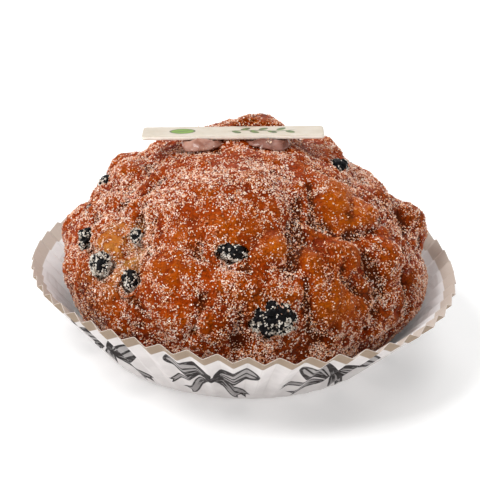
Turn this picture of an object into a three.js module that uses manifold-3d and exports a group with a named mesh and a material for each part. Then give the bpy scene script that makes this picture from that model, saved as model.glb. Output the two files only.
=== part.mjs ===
// An apple dumpling: a lumpy fried ball of dough with raisins in it, in its fluted paper case.
// A thin plaque of white chocolate lies on top, stuck down by two dabs of icing.
// Millimetres, +Z up, +X to the right and -Y to the front. The origin is on the surface that
// the dumpling stands on, under the middle of the paper case.
import * as THREE from "three";
import { mergeVertices } from "three/addons/utils/BufferGeometryUtils.js";
import Module from "manifold-3d";

const { degToRad, radToDeg } = THREE.MathUtils;
const wasm = await Module();
wasm.setup();

const gap = 0.35; // between pieces that touch

// Paper case: a flat round base, and a pleated wall that leans outwards
const flutes = 52;
const caseBaseRadius = 41.1;
const caseRimRadius = 64;
const caseRimHeight = 22.6;
// The rim isn't quite round or level: shares of its radius and millimetres of its height that
// go with the cosine and the sine of the angle, once or twice round
const rimOval = [-0.044, -0.027];
const rimTilt = [0.87, -1.42];
const rimWave = [-0.75, 1.18];
const paper = 0.45;
const pleatIn = 0.6; // how far the inner folds stand inwards at the rim
const pleatUp = 1.6; // and upwards
const pleatGrowth = 0.65; // the pleats deepen from nothing at the base by this power
const foldWidth = 0.18; // share of a flute that each blunt fold takes
const firstFold = 5.5; // degrees, from the front
const wallRings = [0, 0.3, 1]; // shares of the way up the wall

// Dough: widest at the core's height, coned above it and rounded off below
const coreHeight = 27;
const doughRadius = 51.4;
const doughTop = 61.4;
const topPower = 1.5;
const bottomPower = 3;
const blend = 0.9; // how softly swellings run into each other
const doughDetail = 17; // splits of an icosahedron's edge

// Each swelling of the dough: where it points from the core, in degrees round from +X and up,
// then its own radius and how far it stands out
const swellings = [
  { name: "apex, behind the plaque", turn: 76, rise: 67, radius: 12.5, out: 5.4 },
  { name: "large dome in front", turn: -98, rise: 22, radius: 27, out: 2.4 },
  { name: "brow over the dome", turn: -95, rise: 56, radius: 22, out: 1 },
  { name: "left of the brow", turn: -138, rise: 44, radius: 16, out: 2.2 },
  { name: "over the left shoulder", turn: 148, rise: 39, radius: 12, out: 1.1 },
  { name: "left shoulder", turn: 160, rise: 24, radius: 9, out: 3.4 },
  { name: "below the left shoulder", turn: 176, rise: 27, radius: 10, out: 0.8 },
  { name: "left cheek", turn: 174, rise: 3, radius: 8, out: 2.7 },
  { name: "between cheek and hollow", turn: -151, rise: 12, radius: 9, out: 2.2 },
  { name: "low left", turn: -162, rise: -2, radius: 12, out: 0.8 },
  { name: "under the hollow", turn: -134, rise: -3, radius: 13, out: 2.6 },
  { name: "over the hollow", turn: -140, rise: 31, radius: 7.5, out: 2.4 },
  { name: "low front left", turn: -113, rise: 6, radius: 14, out: 2.2 },
  { name: "low front", turn: -102, rise: -2, radius: 12, out: 2.2 },
  { name: "beside the largest raisin", turn: -91, rise: 8, radius: 10, out: 2.6 },
  { name: "under the largest raisin", turn: -79, rise: -8, radius: 9, out: 1.8 },
  { name: "ridge along the crease", turn: -79, rise: 20, radius: 10, out: 3.4 },
  { name: "top of the ridge", turn: -78, rise: 33, radius: 10, out: 2.8 },
  { name: "smooth boss, upper right", turn: -42, rise: 34, radius: 17, out: 2.6 },
  { name: "smooth boss, lower right", turn: -62, rise: 9, radius: 13, out: 3.2 },
  { name: "between the bosses", turn: -52, rise: 19, radius: 9, out: 2.8 },
  { name: "right of the bosses", turn: -31, rise: 18, radius: 10, out: 3.2 },
  { name: "below that", turn: -31, rise: 7, radius: 9, out: 2.8 },
  { name: "right cheek", turn: 7, rise: 5, radius: 9, out: 4.8 },
  { name: "low right", turn: -8, rise: -5, radius: 11, out: 3.4 },
  { name: "right foot", turn: -20, rise: -13, radius: 13, out: 3.8 },
  { name: "low right front", turn: -34, rise: -4, radius: 11, out: 2.2 },
  { name: "foot, right", turn: -48, rise: -5, radius: 9, out: 2.4 },
  { name: "foot, right front", turn: -62, rise: -8, radius: 10, out: 2 },
  { name: "right shoulder", turn: 34, rise: 40, radius: 12, out: 4 },
  { name: "in front of the right shoulder", turn: -14, rise: 42, radius: 13, out: 1.6 },
  { name: "below the right shoulder", turn: 20, rise: 19, radius: 10, out: 2.6 },
  { name: "right of the brow", turn: -32, rise: 58, radius: 12, out: 1.4 },
];
// The side away from the front has swellings of its own, spread by a rule
const swellingSeed = 11;
const backSwellings = 22;
const backTurn = [42, 144];
const backRise = [-8, 48];
const backRadius = [9, 15];
const backOut = [1.2, 3];
// Small bumps all round, on top of the rest, from this sine of their rise to the top
const knobs = 110;
const lowestKnob = -0.35;
const knobRadius = [4.5, 8];
const knobOut = [0.3, 1.4];

// Creases and hollows: dents with a soft edge, as wide and deep as given
const dents = [
  { name: "hollow on the left, top", turn: -136, rise: 24, width: 4.5, depth: 3.2 },
  { name: "hollow on the left, middle", turn: -133, rise: 16, width: 5, depth: 3.8 },
  { name: "hollow on the left, foot", turn: -129, rise: 8, width: 4.5, depth: 3 },
  { name: "crease, top", turn: -66, rise: 40, width: 4, depth: 1.6 },
  { name: "crease, middle", turn: -68, rise: 29, width: 4, depth: 2.4 },
  { name: "crease, foot", turn: -71, rise: 16, width: 3.5, depth: 2 },
  { name: "notch on the right", turn: -4, rise: 4, width: 6, depth: 1.6 },
  { name: "flat under the right shoulder", turn: 27, rise: 31, width: 9, depth: 2.4 },
];

// Raisins: where each sits, its half length, half width and half height, how far it is turned
// about its own upright, and how far its middle lies under the dough's surface
const raisins = [
  { turn: 1, rise: 45, half: [3.7, 2.3, 2], spin: 70, sink: 0.6 },
  { turn: 174, rise: 23, half: [2.8, 2, 1.7], spin: 15, sink: 0.4 },
  { turn: -174, rise: 15, half: [2.2, 1.8, 1.5], spin: 50, sink: 0.5 },
  { turn: -157, rise: 12, half: [3, 2.1, 1.9], spin: 0, sink: 0.8 },
  { turn: -141, rise: 9, half: [3.6, 3.1, 2.4], spin: 25, sink: 0.9 },
  { turn: -139, rise: 19, half: [2.8, 2.1, 1.8], spin: 0, sink: 0.9 },
  { turn: -130, rise: 7, half: [2.7, 2.2, 1.9], spin: 10, sink: 0.9 },
  { turn: -94, rise: 23, half: [4.1, 2.3, 2.2], spin: 90, sink: 1.0 },
  { turn: -80, rise: 2, half: [6.1, 5.2, 4], spin: 80, sink: 1.7 },
  { turn: 50, rise: 13, half: [3.8, 2.6, 2.2], spin: 60, sink: 1.0 },
  { turn: 76, rise: 31, half: [3.2, 2.4, 2], spin: 20, sink: 0.8 },
  { turn: 93, rise: 11, half: [5, 3.8, 3], spin: 75, sink: 1.3 },
  { turn: 127, rise: 27, half: [3.4, 2.3, 2], spin: 40, sink: 0.8 },
  { turn: 152, rise: 5, half: [3.1, 2.6, 2.2], spin: 100, sink: 1.0 },
];
const wrinkle = 0.07; // depth of the raisins' folds, as a share of their radius
const wrinkleWaves = 5; // waves of a fold per radius
const largeRaisin = 3.5; // half length from which a raisin gets the finer mesh

// Plaque: thin, lying across the top, a little lower at its far edge and at its left end
const plaqueLength = 51;
const plaqueDepth = 12;
const plaqueThickness = 1.3;
const plaqueCorner = 0.9;
const plaqueBevel = 0.25;
const plaqueMiddle = [-3.8, 0, 61.9]; // of its underside
const plaquePitch = -8; // degrees about X
const plaqueRoll = -2.5; // degrees about Y

// Dabs of icing, squeezed out in front of the plaque: middle and half sizes
const dabs = [
  { name: "icing_left", middle: [-12.2, -3.4, 60.2], half: [6, 6, 3.4] },
  { name: "icing_right", middle: [5.6, -3.4, 60.8], half: [6.8, 6, 3.4] },
];

const finishes = {
  dough: { color: 0xb4551f, roughness: 0.35, metalness: 0 },
  raisin: { color: 0x1d1b22, roughness: 0.5, metalness: 0 },
  icing: { color: 0xded3dc, roughness: 0.3, metalness: 0 },
  plaque: { color: 0xece7d6, roughness: 0.5, metalness: 0 },
  paper: { color: 0xeeecef, roughness: 0.85, metalness: 0 },
};

// A number from 0 to 1 that depends only on the seed and the count of calls
function dice(seed) {
  let state = seed;
  return () => {
    state = (state * 1664525 + 1013904223) >>> 0;
    return state / 4294967296;
  };
}

function between([low, high], share) {
  return low + (high - low) * share;
}

function direction(turn, rise) {
  const [a, b] = [degToRad(turn), degToRad(rise)];
  return new THREE.Vector3(Math.cos(b) * Math.cos(a), Math.cos(b) * Math.sin(a), Math.sin(b));
}

// A three.js geometry as a solid that can be joined and cut, and back again
function solidOf(geometry) {
  const bare = geometry.clone();
  bare.deleteAttribute("normal");
  bare.deleteAttribute("uv");
  const merged = mergeVertices(bare, 1e-4);
  return new wasm.Manifold(
    new wasm.Mesh({
      numProp: 3,
      vertProperties: merged.attributes.position.array,
      triVerts: new Uint32Array(merged.index.array),
    }),
  );
}

function geometryOf(solid) {
  const mesh = solid.getMesh();
  const geometry = new THREE.BufferGeometry();
  geometry.setAttribute("position", new THREE.BufferAttribute(mesh.vertProperties, 3));
  geometry.setIndex(new THREE.BufferAttribute(mesh.triVerts, 1));
  geometry.computeVertexNormals();
  return geometry;
}

// The smooth ball that the swellings stand on: its radius from the core
function ballReach(way) {
  const level = Math.hypot(way.x, way.y);
  const up = way.z > 0;
  const power = up ? topPower : bottomPower;
  const height = up ? doughTop - coreHeight : coreHeight - paper - gap;
  const sum = (level / doughRadius) ** power + (Math.abs(way.z) / height) ** power;
  return sum ** (-1 / power);
}

// A swelling is a sphere sunk in the surface below it, so that only its crown stands out
function swelling(way, radius, out, surfaceReach) {
  const middle = way.clone().multiplyScalar(surfaceReach(way) + out - radius);
  return { middle, radius };
}

// A surface's radius from the core, with spheres blended into it
function swollen(reach, way, spheres) {
  let sum = 1;
  for (const { middle, radius } of spheres) {
    const along = way.dot(middle);
    const inside = along * along - middle.lengthSq() + radius * radius;
    if (along > 0 && inside > 0) sum += Math.exp((along + Math.sqrt(inside) - reach) / blend);
  }
  return reach + blend * Math.log(sum);
}

const goldenTurn = 180 * (3 - Math.sqrt(5));

function backSwelling(i, draw) {
  const turn = backTurn[0] + ((i * goldenTurn) % (backTurn[1] - backTurn[0]));
  const way = direction(turn, between(backRise, (i + draw()) / backSwellings));
  return swelling(way, between(backRadius, draw()), between(backOut, draw()), ballReach);
}

function frontSwelling({ turn, rise, radius, out }) {
  return swelling(direction(turn, rise), radius, out, ballReach);
}

const draw = dice(swellingSeed);
const largeSwellings = [
  ...swellings.map(frontSwelling),
  ...Array.from({ length: backSwellings }, (_, i) => backSwelling(i, draw)),
];

function lumpReach(way) {
  return swollen(ballReach(way), way, largeSwellings);
}

function knob(i, draw) {
  const height = between([lowestKnob, 1], (i + draw()) / knobs);
  const way = direction(i * goldenTurn, radToDeg(Math.asin(height)));
  return swelling(way, between(knobRadius, draw()), between(knobOut, draw()), lumpReach);
}

const allKnobs = Array.from({ length: knobs }, (_, i) => knob(i, draw));
const allDents = dents.map((dent) => ({ ...dent, way: direction(dent.turn, dent.rise) }));

// How far the case's floor and the inner folds of its wall let the dough reach, with the wall
// as steep as it is where the rim is narrowest
function caseReach(way) {
  const narrowest = caseRimRadius * (1 - Math.hypot(...rimOval));
  const slope = (narrowest - caseBaseRadius) / caseRimHeight;
  const footRadius = caseBaseRadius - (pleatUp + paper) * slope - gap;
  const level = Math.hypot(way.x, way.y);
  const lean = level - slope * way.z;
  const wall = lean > 0 ? (footRadius + coreHeight * slope) / lean : Infinity;
  const floor = way.z < 0 ? (paper + gap - coreHeight) / way.z : Infinity;
  return Math.min(wall, floor);
}

// The dough's radius from the core: the ball with its swellings and knobs, less the dents
function doughReach(way) {
  let reach = swollen(lumpReach(way), way, allKnobs);
  for (const dent of allDents) {
    const away = (reach * way.angleTo(dent.way)) / dent.width;
    reach -= dent.depth * Math.exp(-away * away);
  }
  return Math.min(reach, caseReach(way));
}

function doughGeometry(extra) {
  const geometry = new THREE.IcosahedronGeometry(1, doughDetail);
  const place = geometry.attributes.position;
  const way = new THREE.Vector3();
  for (let i = 0; i < place.count; i++) {
    way.fromBufferAttribute(place, i).normalize();
    const reach = doughReach(way) + extra;
    place.setXYZ(i, way.x * reach, way.y * reach, way.z * reach + coreHeight);
  }
  return geometry;
}

// A raisin about its own middle, its half sizes grown by extra: its Z points out of the dough
function raisinGeometry(raisin, extra, seed) {
  const draw = dice(seed);
  const folds = Array.from({ length: 3 }, () => [direction(360 * draw(), 180 * draw()), 6 * draw()]);
  const geometry = new THREE.IcosahedronGeometry(1, raisin.half[0] > largeRaisin ? 2 : 1);
  const place = geometry.attributes.position;
  const way = new THREE.Vector3();
  for (let i = 0; i < place.count; i++) {
    way.fromBufferAttribute(place, i);
    const waves = folds.map(([along, start]) => Math.sin(wrinkleWaves * way.dot(along) + start));
    const swell = 1 + (wrinkle * (waves[0] + waves[1] + waves[2])) / 3;
    const [a, b, c] = raisin.half.map((half) => (half + extra) * swell);
    place.setXYZ(i, way.x * a, way.y * b, way.z * c);
  }
  return geometry;
}

// Where a raisin sits: its X runs up the dough's side until spin turns it
function raisinMatrix(raisin) {
  const out = direction(raisin.turn, raisin.rise);
  const side = new THREE.Vector3(0, 0, 1).cross(out).normalize();
  const up = out.clone().cross(side);
  const middle = out.clone().multiplyScalar(doughReach(out) - raisin.sink);
  middle.z += coreHeight;
  return new THREE.Matrix4()
    .makeBasis(up, side.negate(), out)
    .multiply(new THREE.Matrix4().makeRotationZ(degToRad(raisin.spin)))
    .setPosition(middle);
}

// The plaque lies along X with its underside at z = 0, grown by extra on every side
function plaqueGeometry(extra) {
  const [x, y] = [plaqueLength / 2 + extra - plaqueBevel, plaqueDepth / 2 + extra - plaqueBevel];
  const r = plaqueCorner;
  const outline = new THREE.Shape();
  outline.absarc(x - r, y - r, r, 0, Math.PI / 2);
  outline.absarc(r - x, y - r, r, Math.PI / 2, Math.PI);
  outline.absarc(r - x, r - y, r, Math.PI, 1.5 * Math.PI);
  outline.absarc(x - r, r - y, r, 1.5 * Math.PI, 2 * Math.PI);
  const geometry = new THREE.ExtrudeGeometry(outline, {
    depth: plaqueThickness + 2 * extra - 2 * plaqueBevel,
    bevelThickness: plaqueBevel,
    bevelSize: plaqueBevel,
    bevelSegments: 1,
    curveSegments: 3,
  });
  return geometry.translate(0, 0, plaqueBevel - extra);
}

const plaqueTilt = new THREE.Euler(degToRad(plaquePitch), degToRad(plaqueRoll), 0);

// The room that the plaque takes, with the gap round it
function plaqueRoom() {
  const placed = new THREE.Matrix4()
    .makeRotationFromEuler(plaqueTilt)
    .setPosition(...plaqueMiddle);
  return solidOf(plaqueGeometry(gap).applyMatrix4(placed));
}

function doughWithPits() {
  let dough = solidOf(doughGeometry(0)).subtract(plaqueRoom());
  raisins.forEach((raisin, i) => {
    dough = dough.subtract(solidOf(raisinGeometry(raisin, gap, i + 1).applyMatrix4(raisinMatrix(raisin))));
  });
  return geometryOf(largest(dough));
}

function largest(solid) {
  return solid.decompose().reduce((a, b) => (a.volume() > b.volume() ? a : b));
}

// A dab is a flattened ball, cut by the plaque over it and by the dough under it
function dabGeometry({ middle, half }) {
  const ball = new THREE.IcosahedronGeometry(1, 3).scale(...half).translate(...middle);
  return geometryOf(largest(solidOf(ball).subtract(plaqueRoom()).subtract(solidOf(doughGeometry(gap)))));
}

function wave([cosine, sine], angle) {
  return cosine * Math.cos(angle) + sine * Math.sin(angle);
}

function rimRadiusAt(angle) {
  return caseRimRadius * (1 + wave(rimOval, 2 * angle));
}

function rimHeightAt(angle) {
  return caseRimHeight + wave(rimTilt, angle) + wave(rimWave, 2 * angle);
}

// A point of the case's wall, share of the way up it; fold is 0 on outer folds and 1 on inner
// ones, and inner moves the point to the paper's inner face
function wallPoint(angle, share, fold, inner) {
  const pleat = fold * share ** pleatGrowth;
  const radius = caseBaseRadius + (rimRadiusAt(angle) - caseBaseRadius) * share - pleatIn * pleat;
  const height = rimHeightAt(angle) * share + pleatUp * pleat;
  const inwards = inner ? paper * Math.SQRT1_2 : 0;
  const upwards = inner ? between([paper, paper * Math.SQRT1_2], share) : 0;
  const reach = radius - inwards;
  return [reach * Math.cos(angle), reach * Math.sin(angle), height + upwards];
}

// One closed skin: the outer face from the middle of the base up to the rim, over the rim and
// down the inner face to the middle again
function caseGeometry() {
  const foldEdges = [
    { at: -foldWidth / 2, fold: 0 },
    { at: foldWidth / 2, fold: 0 },
    { at: 0.5 - foldWidth / 2, fold: 1 },
    { at: 0.5 + foldWidth / 2, fold: 1 },
  ];
  const outside = wallRings.map((share) => [share, false]);
  const rings = [...outside, ...wallRings.toReversed().map((share) => [share, true])];
  const points = [[0, 0, 0]];
  for (const [share, inner] of rings) {
    for (let flute = 0; flute < flutes; flute++) {
      for (const { at, fold } of foldEdges) {
        const angle = degToRad(firstFold - 90) + ((flute + at) / flutes) * 2 * Math.PI;
        points.push(wallPoint(angle, share, fold, inner));
      }
    }
  }
  points.push([0, 0, paper]);
  const columns = flutes * foldEdges.length;
  const last = points.length - 1;
  const faces = [];
  for (let c = 0; c < columns; c++) {
    const next = (c + 1) % columns;
    faces.push([0, 1 + next, 1 + c]);
    for (let ring = 0; ring < rings.length - 1; ring++) {
      const [low, high] = [1 + ring * columns, 1 + (ring + 1) * columns];
      faces.push([low + c, low + next, high + next], [low + c, high + next, high + c]);
    }
    const top = 1 + (rings.length - 1) * columns;
    faces.push([top + c, top + next, last]);
  }
  const geometry = new THREE.BufferGeometry();
  geometry.setAttribute("position", new THREE.Float32BufferAttribute(points.flat(), 3));
  geometry.setIndex(faces.flat());
  geometry.computeVertexNormals();
  return geometry;
}

function piece(name, geometry, finish) {
  const mesh = new THREE.Mesh(geometry, new THREE.MeshStandardMaterial(finishes[finish]));
  mesh.name = name;
  return mesh;
}

const group = new THREE.Group();
group.add(piece("paper_case", caseGeometry(), "paper"));
group.add(piece("dumpling", doughWithPits(), "dough"));

raisins.forEach((raisin, i) => {
  const name = `raisin_${String(i + 1).padStart(2, "0")}`;
  const mesh = piece(name, raisinGeometry(raisin, 0, i + 1), "raisin");
  mesh.applyMatrix4(raisinMatrix(raisin));
  group.add(mesh);
});

for (const dab of dabs) group.add(piece(dab.name, dabGeometry(dab), "icing"));

const plaque = piece("plaque", plaqueGeometry(0), "plaque");
plaque.rotation.copy(plaqueTilt);
plaque.position.set(...plaqueMiddle);
group.add(plaque);

export default group;
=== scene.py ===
import math

import bpy
import numpy as np
from mathutils import Matrix, Vector, noise
from mathutils.bvhtree import BVHTree


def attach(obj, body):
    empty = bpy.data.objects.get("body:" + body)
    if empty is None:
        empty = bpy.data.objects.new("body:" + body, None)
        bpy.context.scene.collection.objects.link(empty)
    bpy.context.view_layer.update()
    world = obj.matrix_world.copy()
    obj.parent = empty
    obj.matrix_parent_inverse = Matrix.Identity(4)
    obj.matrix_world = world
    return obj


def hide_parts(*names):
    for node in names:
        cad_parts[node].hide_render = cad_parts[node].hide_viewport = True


# A sugared apple dumpling with raisins, in its paper case, with a plaque of white chocolate.
# Metres, +Z up, -Y to the front. Sizes below are in millimetres, angles in degrees.
mm = 0.001
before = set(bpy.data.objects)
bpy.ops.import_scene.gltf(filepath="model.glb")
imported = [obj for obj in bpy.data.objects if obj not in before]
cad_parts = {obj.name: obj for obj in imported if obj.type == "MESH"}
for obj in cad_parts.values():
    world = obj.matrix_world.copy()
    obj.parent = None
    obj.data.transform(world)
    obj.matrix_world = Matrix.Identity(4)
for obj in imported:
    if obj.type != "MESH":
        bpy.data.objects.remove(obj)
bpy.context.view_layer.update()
raisinNames = sorted(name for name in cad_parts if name.startswith("raisin"))
print("frame loaded,", len(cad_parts), "nodes")


# Shader maths: a signal is a number that varies over the surface
class Signal:
    def __init__(self, finish, socket):
        self.finish, self.socket = finish, socket

    def maths(self, operation, *others, clamp=False):
        made = self.finish.node("ShaderNodeMath", {"operation": operation, "use_clamp": clamp})
        for slot, value in zip(made.inputs, (self, *others)):
            self.finish.join(value, slot)
        return Signal(self.finish, made.outputs[0])

    def __add__(self, other):
        return self.maths("ADD", other)

    def __sub__(self, other):
        return self.maths("SUBTRACT", other)

    def __rsub__(self, other):
        return self.maths("MULTIPLY_ADD", -1.0, other)

    def __mul__(self, other):
        return self.maths("MULTIPLY", other)

    def __truediv__(self, other):
        return self.maths("DIVIDE", other)

    __radd__, __rmul__ = __add__, __mul__

    def clamped(self):
        return self.maths("ADD", 0.0, clamp=True)

    def between(self, low, high):
        inputs = {"Value": self, "From Min": low, "From Max": high}
        made = self.finish.node("ShaderNodeMapRange", {"interpolation_type": "SMOOTHSTEP"}, inputs)
        return Signal(self.finish, made.outputs["Result"])

    def more(self, other):
        return self.maths("MAXIMUM", other)


class Finish:
    def __init__(self, name):
        self.material = bpy.data.materials.new(name)
        self.material.use_nodes = True
        self.tree = self.material.node_tree
        self.shader = self.tree.nodes["Principled BSDF"]

    def join(self, value, slot):
        if isinstance(value, Signal):
            value = value.socket
        if isinstance(value, bpy.types.NodeSocket):
            self.tree.links.new(value, slot)
        else:
            slot.default_value = value

    def node(self, kind, settings=None, inputs=None):
        made = self.tree.nodes.new(kind)
        for name, value in (settings or {}).items():
            setattr(made, name, value)
        for name, value in (inputs or {}).items():
            self.join(value, made.inputs[name])
        return made

    def signal(self, kind, settings=None, inputs=None, output=0):
        return Signal(self, self.node(kind, settings, inputs).outputs[output])

    # Object coordinates in millimetres
    def point(self):
        place = self.node("ShaderNodeTexCoord").outputs["Object"]
        scaled = self.node("ShaderNodeVectorMath", {"operation": "SCALE"}, {"Vector": place, "Scale": 1000.0})
        return scaled.outputs["Vector"]

    def cloud(self, size, detail=3.0, rough=0.5, bend=0.0):
        inputs = {"Vector": self.point(), "Scale": 1 / size}
        inputs.update({"Detail": detail, "Roughness": rough, "Distortion": bend})
        return self.signal("ShaderNodeTexNoise", {}, inputs, "Fac")

    def cells(self, size):
        inputs = {"Vector": self.point(), "Scale": 1 / size}
        return self.signal("ShaderNodeTexVoronoi", {"feature": "F1"}, inputs, "Distance")

    def axes(self, vector):
        split = self.node("ShaderNodeSeparateXYZ", {}, {"Vector": vector})
        return [Signal(self, split.outputs[axis]) for axis in "XYZ"]

    def attribute(self, name):
        return self.signal("ShaderNodeAttribute", {"attribute_name": name}, None, "Fac")

    def mix(self, share, first, second):
        made = self.node("ShaderNodeMix", {"data_type": "RGBA"})
        for slot, value in ((0, share), (6, first), (7, second)):
            self.join(value, made.inputs[slot])
        return made.outputs[2]

    def relief(self, *layers):
        normal = None
        for height, depth in layers:
            inputs = {"Height": height, "Distance": depth * mm, "Strength": 1.0}
            if normal:
                inputs["Normal"] = normal
            normal = self.node("ShaderNodeBump", {}, inputs).outputs["Normal"]
        return normal

    def set(self, **values):
        for name, value in values.items():
            self.join(value, self.shader.inputs[name.replace("_", " ")])
        return self.material


def colour(*shades):  # red, green and blue, from the 0 to 255 of a colour picker
    linear = [v / 255 / 12.92 if v < 10.4 else ((v / 255 + 0.055) / 1.055) ** 2.4 for v in shades]
    return (*linear, 1)


# Mesh helpers
def only(piece):
    bpy.ops.object.select_all(action="DESELECT")
    piece.select_set(True)
    bpy.context.view_layer.objects.active = piece


def cadCopy(node, name):
    piece = bpy.data.objects.new(name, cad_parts[node].data.copy())
    bpy.context.scene.collection.objects.link(piece)
    piece.data.materials.clear()
    only(piece)
    bpy.ops.object.mode_set(mode="EDIT")
    bpy.ops.mesh.select_all(action="SELECT")
    bpy.ops.mesh.remove_doubles(threshold=1e-6)
    bpy.ops.object.mode_set(mode="OBJECT")
    return piece


def modify(piece, kind, **settings):
    only(piece)
    bpy.ops.object.modifier_add(type=kind)
    made = piece.modifiers[-1]
    for name, value in settings.items():
        setattr(made, name, value)
    bpy.ops.object.modifier_apply(modifier=made.name)


def remesh(piece, voxel, rounds):
    modify(piece, "REMESH", mode="VOXEL", voxel_size=voxel * mm, use_smooth_shade=True)
    if rounds:
        modify(piece, "SMOOTH", factor=0.5, iterations=rounds)


def rough(piece, name, kind, size, depth, group="", **settings):
    texture = bpy.data.textures.new(name, kind)
    texture.noise_scale = size * mm
    for key, value in settings.items():
        setattr(texture, key, value)
    modify(
        piece, "DISPLACE", texture=texture, texture_coords="LOCAL",
        strength=depth * mm, mid_level=0.5, vertex_group=group,
    )


def places(piece):
    found = np.empty(len(piece.data.vertices) * 3)
    piece.data.vertices.foreach_get("co", found)
    return found.reshape(-1, 3)


def place(piece, found):
    piece.data.vertices.foreach_set("co", found.ravel())
    piece.data.update()


def normals(piece):
    found = np.empty(len(piece.data.vertices) * 3)
    piece.data.vertex_normals.foreach_get("vector", found)
    return found.reshape(-1, 3)


def keep(piece, name, values):
    layer = piece.data.attributes.new(name, "FLOAT", "POINT")
    layer.data.foreach_set("value", np.asarray(values, np.float32))


def dress(piece, material, slot, *nodes):
    if material:
        piece.data.materials.clear()
        piece.data.materials.append(material)
    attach(piece, "root")
    if nodes:
        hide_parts(*nodes)


def direction(turn, rise):
    a, b = math.radians(turn), math.radians(rise)
    return np.array([math.cos(b) * math.cos(a), math.cos(b) * math.sin(a), math.sin(b)])


def cloudAt(points, size, octaves=3):
    return np.array([noise.fractal(Vector(p) / size, 0.8, 2.0, octaves) for p in points])


def smoothstep(values, low, high):
    t = np.clip((values - low) / (high - low), 0, 1)
    return t * t * (3 - 2 * t)


# Raisins: dried, folded skins pressed into the dough
raisinShape = {
    "voxel": 0.26,
    "smoothing": 6,
    "dentSize": 3.0,
    "dentDepth": 1.7,
    "foldSize": 1.5,
    "foldDepth": 1.0,
    "creaseSize": 0.7,
    "creaseDepth": 0.2,
    "sugared": {  # more sugar lies on these
        "raisin_02": 0.5, "raisin_05": 0.6, "raisin_06": 0.8,
        "raisin_07": 0.1, "raisin_08": 0.15, "raisin_13": 0.4,
    },
}


def makeRaisin(node):
    piece = cadCopy(node, "wrinkled_" + node)
    remesh(piece, raisinShape["voxel"], raisinShape["smoothing"])
    rough(piece, "raisin dents", "CLOUDS", raisinShape["dentSize"], raisinShape["dentDepth"], noise_depth=1)
    rough(
        piece, "raisin folds", "MUSGRAVE", raisinShape["foldSize"], -raisinShape["foldDepth"],
        musgrave_type="RIDGED_MULTIFRACTAL", octaves=2.0, noise_intensity=0.6,
    )
    rough(piece, "raisin creases", "CLOUDS", raisinShape["creaseSize"], raisinShape["creaseDepth"])
    modify(piece, "SMOOTH", factor=0.5, iterations=1)
    return piece


raisins = {node: makeRaisin(node) for node in raisinNames}
print("raisins made:", len(raisins))

# Dough: the fried crust, lumpy and blistered
doughShape = {
    "voxel": 0.64,
    "smoothing": 8,
    "nuggetSizes": ((11.0, 1.5), (5.0, 0.9)),  # lumps with creases between: how wide, how deep
    "sunk": 0.3,
    "relief": (("blisters", 2.4, 0.55, 2), ("grain", 1.0, 0.25, 1)),  # how wide, how deep, octaves
    "foot": (8.0, 17.0),  # below these heights less and less stands out, so that the case stays clear
    "core": (0.0, 0.0, 27.0),
    "raisinGap": 0.25,
    "pitWidth": 1.1,
    "pitDepth": 1.3,
    "lipAway": 1.5,
    "lipHeight": 1.2,
    "lipReach": 0.2,  # how far a lip hangs over its raisin, as a share of the raisin's size
    "coverReach": {  # the same for the raisins that lie deeper
        "raisin_01": 0.3, "raisin_02": 0.5, "raisin_03": 0.3, "raisin_05": 0.34,
        "raisin_06": 0.5, "raisin_07": 0.36, "raisin_09": 0.27,
    },
    "lipTurns": {  # the side that the lip is on: 0 to the right, 90 upwards
        "raisin_02": 130, "raisin_03": 20, "raisin_04": 200, "raisin_05": 160,
        "raisin_07": 170, "raisin_08": 60, "raisin_09": 40,
    },
    "lipRagged": (0.9, 3.0),  # how much its edge comes and goes, and how far apart
    "plaqueGap": 0.4,
    "plaqueCalm": (0.3, 4.0),  # the blisters grow in between these distances from the plaque
    "plaqueMiddle": (-3.8, 61.9),  # across, and the height of its underside
    "plaqueSlopes": (0.044, -0.139),  # of the underside, to the right and to the back
    "plaqueEnd": 25.7,
    "plaqueBack": 6.2,
}
# Places on the crust: turn, rise and width in degrees, and amount
bosses = [  # in millimetres
    (-37, 41, 8, 2.2), (-20, 33, 7, 0.9), (6, 16, 7, 1.4), (-78, 25, 4, 1.8), (-67, 18, 4, 1.5),
    (-52, 21, 5, 1.7), (-34, 15, 6, 2.0), (-60, 5, 7, 1.8), (-48, 9, 5, 1.5), (-117, 13, 8, 1.0),
    (-95, 12, 6, 1.3), (-109, 15, 6, 0.8), (-169, 21, 6, 1.2), (-152, 2, 5, 1.8),
    (-141, -4, 5, 1.2), (-56, 66, 8, 1.2), (-178, 35, 6, 1.4), (-82, 46, 7, 1.0),
    (-173, 54, 6, 1.0), (-101, 31, 6, 0.9), (-138, 31, 5, 1.2), (-110, 47, 8, 0.9),
    (0, 90, 16, 1.0), (-6, 24, 7, 1.2), (-52, 31, 5, -0.6), (0, 3, 4, -1.3), (-20, 3, 5, 1.5),
    (-85, -9, 5, 1.2), (-112, -6, 6, 1.0), (-178, 20, 6, 1.8), (174, 32, 6, 2.8), (16, 41, 5, 1.7),
    (12, 50, 5, 2.0), (0, 27, 5, 0.9), (-140, 16, 5, 2.2), (-131, 14, 4, 1.8), (-80, 11, 5, 2.2),
    (60, 24, 8, 2.0), (100, 44, 9, 1.8), (136, 9, 7, 1.6), (30, 12, 6, 1.4), (116, 22, 6, 1.4),
    (80, 8, 6, 1.5), (160, 40, 7, 1.2), (-140, 81, 6, 1.3),
]
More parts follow.
